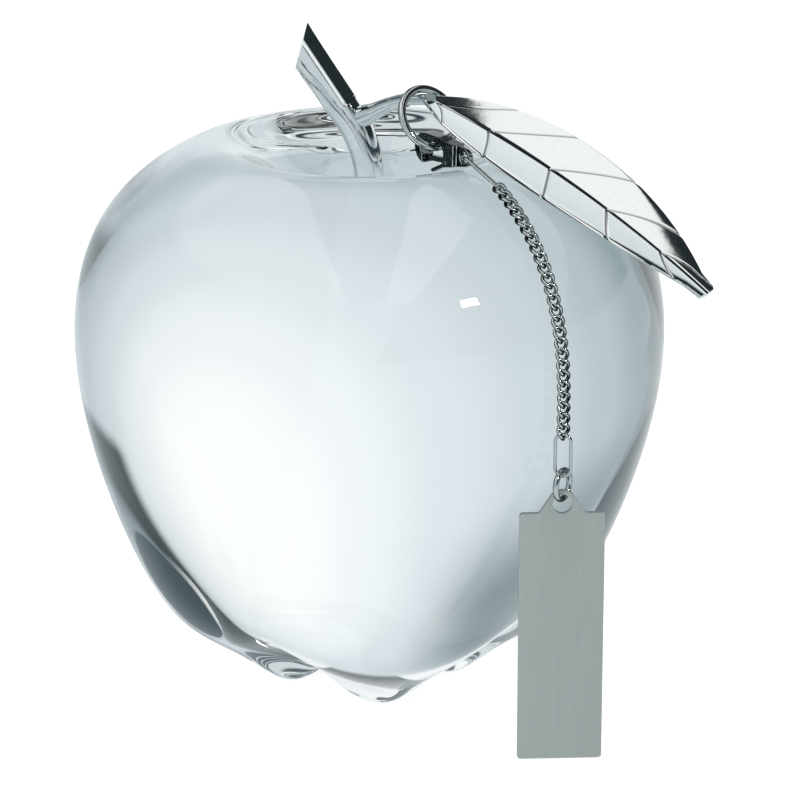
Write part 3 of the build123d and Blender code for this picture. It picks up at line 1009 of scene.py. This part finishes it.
@dataclass
class HangingTrain:
    """Ring, clasp, oval links, curb links, tag ring and tag, each on its own body."""

    bright: Any
    cast: Any
    links: Any
    plate: Any
    spring: Any
    ring_wire: float = 1.2
    oval_wire: float = 0.5
    oval_width: float = 2.8
    eye_play: float = 0.26
    oval_play: float = 0.34
    upper_roll: float = -35.0
    lower_length: float = 6.8
    lower_azimuth: float = -13.0
    link_wire: float = 0.5
    link_wire_shown: float = 0.57
    link_length: float = 2.7
    link_width: float = 2.2
    link_twist: float = -45.0
    link_side_slope: float = -38.0
    tag_ring_wire: float = 0.9
    tag_ring_outside: float = 5.2
    tag_ring_azimuth: float = -120.0
    tag_ring_cut: float = 0.4
    tag_ring_cut_angle: float = 58.0
    clasp_rounding: float = 0.32
    gate_rounding: float = 0.2
    pin_rounding: float = 0.06
    tag_rounding: float = 0.14
    ring_stations: int = 160
    ring_sides: int = 40
    oval_stations: int = 96
    oval_sides: int = 24
    curb_arc_stations: int = 12
    curb_sides: int = 20
    tag_ring_stations: int = 120
    tag_ring_sides: int = 36

    def finish_piece(self, thing: Any, body: str, node: Optional[str] = None) -> None:
        """Hang a piece on its body, and hide the CAD node it stands for where one is given.

        Args:
            thing: The object.
            body: The body it rides on.
            node: The CAD node it stands for, where that isn't hidden yet.
        """
        if node:
            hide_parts(node)
        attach(thing, body)

    def leaf_ring(self) -> None:
        """A circle carried round the ring's middle line, which runs from the stalk to the clasp."""
        top, low = joint_spot("ring_swing"), joint_spot("clasp_swing")
        down = unit(low - top)
        across = joint_axis("ring_swing")
        radius = float(np.linalg.norm(low - top)) / 2
        turn = np.linspace(0, 2 * math.pi, self.ring_stations, endpoint=False)[:, None]
        path = (top + low) / 2 + radius * (np.cos(turn) * down + np.sin(turn) * across)
        grid = tube(path, np.cross(down, across), self.ring_wire / 2, self.ring_sides, True)
        ring = GridMesh("leaf_ring_wire", grid, wrap_rows=True).build(self.bright)
        self.finish_piece(ring, "ring", "leaf_ring")

    def clasp(self) -> None:
        """The clasp's cast pieces are the CAD shapes tumbled round, the pin is bevelled."""
        pieces = (
            ("clasp_body", self.clasp_rounding, EdgeWork.TUMBLED, "clasp"),
            ("clasp_gate", self.gate_rounding, EdgeWork.TUMBLED, "gate"),
            ("clasp_pin", self.pin_rounding, EdgeWork.BEVELLED, "clasp"),
        )
        for node, rounding, work, body in pieces:
            self.finish_piece(DressedCopy(node, self.cast, rounding, work).build(), body)
        dress_node("clasp_spring", self.spring)

    def oval(self, name: str, axes: Axes, length: float) -> Any:
        """Make an oval wire link: a half circle at each end, pushed out by half the straight sides.

        Args:
            name: The object's name.
            axes: Its middle, its length's direction and its width's.
            length: Its outside length.

        Returns:
            The new object.
        """
        radius = (self.oval_width - self.oval_wire) / 2
        straight = length - self.oval_width
        turn = np.linspace(-math.pi / 2, 3 * math.pi / 2, self.oval_stations, endpoint=False)
        turn += math.pi / self.oval_stations
        push = np.where(np.cos(turn) > 0, straight / 2, -straight / 2)
        local = np.stack([push + radius * np.cos(turn), radius * np.sin(turn), np.zeros_like(turn)], axis=1)
        up = np.cross(axes.along, axes.across)
        grid = tube(axes.place(local), up, self.oval_wire / 2, self.oval_sides, True)
        return GridMesh(name, grid, wrap_rows=True).build(self.bright)

    def ovals(self) -> None:
        """The upper oval leans on the clasp's eye, the lower one hangs on the last curb link."""
        out = joint_axis("top_oval_swing")
        eye, first = joint_spot("top_oval_swing"), joint_spot("curb_bend_01")
        run = unit(first - eye)
        near, far = eye + run * self.eye_play, first + run * self.oval_play
        roll = math.radians(self.upper_roll)
        across = out * math.cos(roll) + np.cross(run, out) * math.sin(roll)
        length = float(np.linalg.norm(far - near)) + self.oval_wire
        upper = self.oval("upper_oval_link", Axes((near + far) / 2, run, across), length)
        self.finish_piece(upper, "top_oval", "upper_link")
        top = joint_spot("low_oval_swing") + np.array([0, 0, self.oval_play])
        middle = top - np.array([0, 0, (self.lower_length - self.oval_wire) / 2])
        across = polar(1.0, self.lower_azimuth, 0)
        axes = Axes(middle, np.array([0, 0, -1.0]), across)
        lower = self.oval("lower_oval_link", axes, self.lower_length)
        self.finish_piece(lower, "low_oval", "lower_link")

    def curb_path(self) -> Array:
        """Work out the closed middle line of one curb link.

        A quarter is two tangent arcs, from the middle of a side, where the wire slopes across
        the link, to an end, where it is twisted. An arc is its start, plus the radius times the
        sine of the angle along its tangent, plus the radius times one less the cosine along its
        inward normal. The tangents at the two ends of a quarter are equally long, which gives a
        square equation for their span. Half turns about the three axes give the other quarters.

        Returns:
            Points on the line, length along X and width along Y.
        """
        side = np.array([0, (self.link_width - self.link_wire) / 2, 0])
        end = np.array([(self.link_length - self.link_wire) / 2, 0, 0])
        slope, twist = math.radians(self.link_side_slope), math.radians(self.link_twist)
        side_run = np.array([math.cos(slope), 0, math.sin(slope)])
        end_run = np.array([0, -math.cos(twist), -math.sin(twist)])
        chord = end - side
        square = 2 * (1 - side_run @ end_run)
        lengthwise = 2 * chord @ (side_run + end_run)
        span = (-lengthwise + math.sqrt(lengthwise ** 2 + 4 * square * chord @ chord)) / (2 * square)
        middle = (side + end + (side_run - end_run) * span) / 2
        middle_run = unit((end - end_run * span) - (side + side_run * span))
        first = self.arc(side, side_run, middle, self.curb_arc_stations)
        quarter = np.concatenate([first, self.arc(middle, middle_run, end, self.curb_arc_stations)])
        close = np.concatenate([end[None], quarter[:0:-1]])
        turns = ((quarter, (1, 1, 1)), (close, (1, -1, -1)), (quarter, (-1, -1, 1)), (close, (-1, 1, -1)))
        return np.concatenate([part * np.array(turn) for part, turn in turns])

    @staticmethod
    def arc(start: Array, run: Array, end: Array, stations: int) -> Array:
        """Work out the arc from one point to another.

        Args:
            start: Its first point.
            run: Its direction there.
            end: Its last point.
            stations: How many points it gets.

        Returns:
            Points on the arc, without the last one.
        """
        chord = end - start
        along = float(chord @ run)
        normal = unit(chord - along * run)
        away = float(chord @ normal)
        radius = float(chord @ chord) / (2 * away)
        angle = np.linspace(0, 2 * math.atan2(away, along), stations, endpoint=False)[:, None]
        return start + radius * np.sin(angle) * run + radius * (1 - np.cos(angle)) * normal

    def curb_links(self) -> None:
        """Lay one curb link between each two hinge points of the chain."""
        local = self.curb_path()
        grid = tube(local, local, self.link_wire_shown / 2, self.curb_sides, True)
        names = [joint["name"] for joint in joints() if joint["name"].startswith("curb_bend")]
        names.append("low_oval_swing")
        spots = [joint_spot(name) for name in names]
        out = joint_axis("curb_bend_01")
        for number, (first, second) in enumerate(zip(spots[:-1], spots[1:]), start=1):
            axes = Axes((first + second) / 2, unit(second - first), out)
            link = GridMesh(f"curb_link_{number:02d}", axes.place(grid), wrap_rows=True).build(self.links)
            self.finish_piece(link, f"curb_{number:02d}", f"chain_link_{number:02d}")
        LOG.info("chain: %d curb links", len(spots) - 1)

    def tag_ring(self) -> None:
        """A circle carried round the cut ring, from one side of its cut to the other."""
        radius = (self.tag_ring_outside - self.tag_ring_wire) / 2
        middle = joint_spot("tag_swing") + np.array([0, 0, radius])
        half_cut = self.tag_ring_cut / 2 / radius
        start = math.radians(self.tag_ring_cut_angle)
        stop = start + 2 * math.pi - half_cut
        turn = np.linspace(start + half_cut, stop, self.tag_ring_stations)[:, None]
        level = polar(1.0, self.tag_ring_azimuth, 0)
        up = np.array([0, 0, 1.0])
        path = middle + radius * (np.cos(turn) * level + np.sin(turn) * up)
        grid = tube(path, np.cross(level, up), self.tag_ring_wire / 2, self.tag_ring_sides, False)
        ring = GridMesh("tag_ring_wire", grid, cap_start=True, cap_end=True).build(self.bright)
        self.finish_piece(ring, "split_ring", "tag_ring")

    def tag(self) -> None:
        """The tag is the CAD plate with softened edges."""
        plate = DressedCopy("tag", self.plate, self.tag_rounding).build()
        self.finish_piece(plate, "plate")

    def build(self) -> None:
        """Make the whole train from the ring down."""
        self.leaf_ring()
        self.clasp()
        self.ovals()
        self.curb_links()
        self.tag_ring()
        self.tag()
        LOG.info("hanging train: ring, clasp, ovals, links, tag ring and tag")


@dataclass(frozen=True)
class Lamp:
    """A soft rectangular lamp: its middle, width and height, power in watts, and if mirrors show it."""

    name: str
    place: Tuple[float, float, float]
    size: Tuple[float, float]
    power: float
    mirrored: bool = True


@dataclass
class Studio:
    """A pale table, soft lamps, a surround of soft tones and the camera of the photograph."""

    axis: Array
    sensor: float = 36.0
    camera_reach: float = 10.0
    distance: float = 650.0
    elevation: float = 17.0
    look_height: float = 43.2
    focal_share: float = 4229.0 / 800.0
    shift: Tuple[float, float] = (0.03825, 0.00975)
    floor_size: float = 1600.0
    table_tone: str = "E6E6E6"
    table_glow: float = 0.72
    sweep_aim: Tuple[float, float, float] = (0.35, 0.93, 0.05)
    sweep_tones: Tuple[Tuple[float, str], ...] = (
        (-0.55, "B4BFC3"), (-0.1, "8B9A9E"), (0.15, "93A4A8"), (0.45, "B7C3C8"),
        (0.70, "CED7DC"), (0.85, "DEE5E9"), (0.94, "F1F5F7"), (0.99, "FFFFFF"),
    )
    table_edge: Tuple[float, float] = (-0.02, -0.16)
    table_front: Tuple[float, float] = (0.30, -0.05)
    table_seen: str = "CDD6DA"
    ceiling_edge: Tuple[float, float] = (0.55, 0.66)
    ceiling_level: float = 1.0
    gap_x: Tuple[float, float] = (-0.22, 0.15)
    side_x: float = 0.44
    side_height: Tuple[float, float] = (0.05, 0.12)
    side_depth: Tuple[float, float] = (0.68, 0.58)
    card_edge: float = 0.012
    card_tone: str = "262D2F"
    room_x: Tuple[float, float] = (0.08, 0.24)
    room_y: Tuple[float, float] = (-0.15, -0.35)
    room_z: Tuple[float, float] = (0.08, 0.20)
    room_tone: str = "1C2326"
    flag_x: Tuple[float, float] = (-0.12, -0.42)
    flag_y: Tuple[float, float] = (0.35, 0.55)
    flag_z: Tuple[float, float] = (0.02, 0.26)
    flag_tone: str = "7F8C90"
    studio_level: float = 1.06
    lamps: Tuple[Lamp, ...] = (
        Lamp("small_right", (299.0, -330.0, 327.0), (58.0, 36.0), 0.6),
        Lamp("broad_front_left", (-350.0, -470.0, 240.0), (520.0, 620.0), 2.0, mirrored=False),
    )

    def camera(self) -> None:
        """Stand the camera in front, at the photograph's height and distance."""
        data = bpy.data.cameras.new("front_camera")
        data.sensor_width = self.sensor
        data.sensor_fit = "HORIZONTAL"
        data.lens = self.focal_share * self.sensor
        data.shift_x, data.shift_y = self.shift
        data.clip_end = self.camera_reach
        camera = bpy.data.objects.new("front_camera", data)
        rise = math.radians(self.elevation)
        camera.location = (
            self.axis[0] * MM,
            (self.axis[1] - self.distance * math.cos(rise)) * MM,
            (self.look_height + self.distance * math.sin(rise)) * MM,
        )
        camera.rotation_euler = (math.pi / 2 - rise, 0, 0)
        bpy.context.scene.collection.objects.link(camera)
        bpy.context.scene.camera = camera

    def floor(self) -> None:
        """A pale matt table that keeps the soft shadow.

        A part of its tone is its own glow, so that it stays white to the camera. Rays that come
        through the glass or off the metal pass through it and see the surround instead.
        """
        material, tree, output = new_material("pale_table")
        paths = add_node(tree, "ShaderNodeLightPath")
        matt = add_node(tree, "ShaderNodeBsdfDiffuse", Color=linear(self.table_tone))
        glow = add_node(tree, "ShaderNodeEmission", Color=WHITE, Strength=self.table_glow)
        lit = add_node(tree, "ShaderNodeAddShader", s0=matt.outputs["BSDF"], s1=glow.outputs["Emission"])
        clear = add_node(tree, "ShaderNodeBsdfTransparent")
        bent = add_node(
            tree, "ShaderNodeMath", {"operation": "MAXIMUM"},
            s0=paths.outputs["Is Glossy Ray"], s1=paths.outputs["Is Transmission Ray"],
        )
        mix = add_node(
            tree, "ShaderNodeMixShader", s0=bent.outputs["Value"],
            s1=lit.outputs["Shader"], s2=clear.outputs["BSDF"],
        )
        tree.links.new(mix.outputs["Shader"], output.inputs["Surface"])
        half = self.floor_size / 2
        corners = [[[x, y, 0.0] for x in (-half, half)] for y in (-half, half)]
        floor = GridMesh("pale_table_top", np.array(corners), wrap_columns=False).build(material)

    @staticmethod
    def card(tree: Any, behind: Any, edges: Sequence[Tuple[Any, Tuple[float, float]]], tone: Any) -> Any:
        """Lay one tone over another where all edges are passed.

        Args:
            tree: The node tree.
            behind: The socket with the colour behind.
            edges: Pairs of the socket that is followed and its two edges.
            tone: The card's colour.

        Returns:
            The socket with the mixed colour.
        """
        inside = smooth_step(tree, *edges[0])
        for value, edge in edges[1:]:
            part = smooth_step(tree, value, edge)
            both = add_node(tree, "ShaderNodeMath", {"operation": "MULTIPLY"}, s0=inside, s1=part)
            inside = both.outputs["Value"]
        return colour_mix(tree, inside, behind, tone)

    def sweep(self, tree: Any, place: Any) -> Any:
        """Tone each direction by its angle to the brightest part of the paper sweep.

        Args:
            tree: The node tree.
            place: The socket with the direction.

        Returns:
            The socket with the tone.
        """
        aim = tuple(unit(np.array(self.sweep_aim)).tolist())
        facing = add_node(tree, "ShaderNodeVectorMath", {"operation": "DOT_PRODUCT"}, s0=place, s1=aim)
        share = add_node(
            tree, "ShaderNodeMapRange", Value=facing.outputs["Value"], From_Min=-1.0, From_Max=1.0
        )
        tones = add_node(tree, "ShaderNodeValToRGB", s0=share.outputs["Result"])
        ramp = tones.color_ramp
        ramp.interpolation = "EASE"
        while len(ramp.elements) < len(self.sweep_tones):
            ramp.elements.new(1.0)
        for element, (cosine, tone) in zip(ramp.elements, self.sweep_tones):
            element.position = (cosine + 1) / 2
            element.color = linear(tone)
        return tones.outputs["Color"]

    def surround(self) -> None:
        """Tone the studio as a ball of soft tones.

        The paper sweep is white behind the apple and a little to the right, and grey elsewhere.
        On it lie, one over the other, a grey flag up at the left behind, the dark room in front
        high at the right, the pale table low in front, a white ceiling panel with a dark gap, and
        a dark card high at the right. The gap and the card have straight edges at one ratio of X
        to Z. The camera itself sees plain white.
        """
        world = bpy.data.worlds.new("pale_studio")
        bpy.context.scene.world = world
        world.use_nodes = True
        tree = world.node_tree
        tree.nodes.clear()
        output = tree.nodes.new("ShaderNodeOutputWorld")
        place = add_node(tree, "ShaderNodeTexCoord").outputs["Generated"]
        view = self.sweep(tree, place)
        parts = add_node(tree, "ShaderNodeSeparateXYZ", Vector=place)
        east, north, high = (parts.outputs[axis] for axis in "XYZ")
        slope = add_node(tree, "ShaderNodeMath", {"operation": "DIVIDE"}, s0=east, s1=high).outputs["Value"]
        soft = self.card_edge
        gap_start, gap_end = self.gap_x
        panel = [(high, self.ceiling_edge)]
        gap = [(slope, (gap_start - soft, gap_start + soft)), (slope, (gap_end + soft, gap_end - soft))]
        side = [(high, self.side_height), (north, self.side_depth)]
        white, card = (*[self.ceiling_level] * 3, 1.0), linear(self.card_tone)
        for edges, tone in (
            ([(east, self.flag_x), (north, self.flag_y), (high, self.flag_z)], linear(self.flag_tone)),
            ([(east, self.room_x), (north, self.room_y), (high, self.room_z)], linear(self.room_tone)),
            ([(high, self.table_edge), (north, self.table_front)], linear(self.table_seen)),
            (panel, white),
            (panel + gap, card),
            (side + [(slope, (self.side_x - soft, self.side_x + soft))], card),
        ):
            view = self.card(tree, view, edges, tone)
        seen = add_node(tree, "ShaderNodeLightPath").outputs["Is Camera Ray"]
        tone = colour_mix(tree, seen, view, WHITE)
        glow = add_node(tree, "ShaderNodeBackground", Color=tone, Strength=self.studio_level)
        tree.links.new(glow.outputs["Background"], output.inputs["Surface"])

    def light(self, lamp: Lamp) -> None:
        """Add one lamp that faces the apple.

        Args:
            lamp: The lamp. Where it isn't mirrored, glass and metal don't show it.
        """
        data = bpy.data.lights.new(lamp.name, "AREA")
        data.shape = "RECTANGLE"
        data.size, data.size_y = lamp.size[0] * MM, lamp.size[1] * MM
        data.energy = lamp.power
        thing = bpy.data.objects.new(lamp.name, data)
        bpy.context.scene.collection.objects.link(thing)
        spot = np.array(lamp.place)
        away = unit(spot - np.array([self.axis[0], self.axis[1], self.look_height]))
        thing.location = (spot * MM).tolist()
        thing.rotation_euler = (math.acos(float(away[2])), 0, math.atan2(away[0], -away[1]))
        thing.visible_glossy = lamp.mirrored
        thing.visible_transmission = lamp.mirrored

    def build(self) -> None:
        """Set up the camera, floor, surround and lamps."""
        bpy.context.scene.view_settings.view_transform = "Standard"
        self.camera()
        self.floor()
        self.surround()
        for lamp in self.lamps:
            self.light(lamp)
        LOG.info("studio: camera, table, surround and two lamps")


def main() -> None:
    """Build the apple, its metal parts and the studio, in order."""
    logging.basicConfig(level=logging.INFO)
    glass = GlassBody(ClearGlass().build())
    glass.build()
    axis = glass.axis()
    polished = PlatedMetal(
        "zinc_cast_bright_plated", colour="F2F4F4", shade="E2E6E6", roughness=0.06, mark_depth=0.0025
    ).build()
    Stem(polished, axis).build()
    Leaf(polished, axis).build()
    # The wire, clasp and chain metals carry painted shade on their turned-away sides
    wire = PlatedMetal(
        "brass_wire_bright_plated", colour="DDE1E1", shade="C6CBCB", roughness=0.05,
        painted_side_shade="3C4547", side_facing=(0.3, 0.6),
    ).build()
    cast = PlatedMetal(
        "clasp_cast_bright_plated", colour="DDE1E1", shade="C6CBCB", roughness=0.05, painted_side_shade="2C3234"
    ).build()
    chain = PlatedMetal(
        "brass_curb_bright_plated", colour="E2E6E5", shade="CDD3D2", roughness=0.05, painted_side_shade="1C2123"
    ).build()
    spring = PlatedMetal("steel_strip_plain", colour="9A9FA0", shade="84898A", roughness=0.25).build()
    HangingTrain(wire, cast, chain, SatinPlate().build(), spring).build()
    Studio(axis).build()


if __name__ == "__main__":
    main()
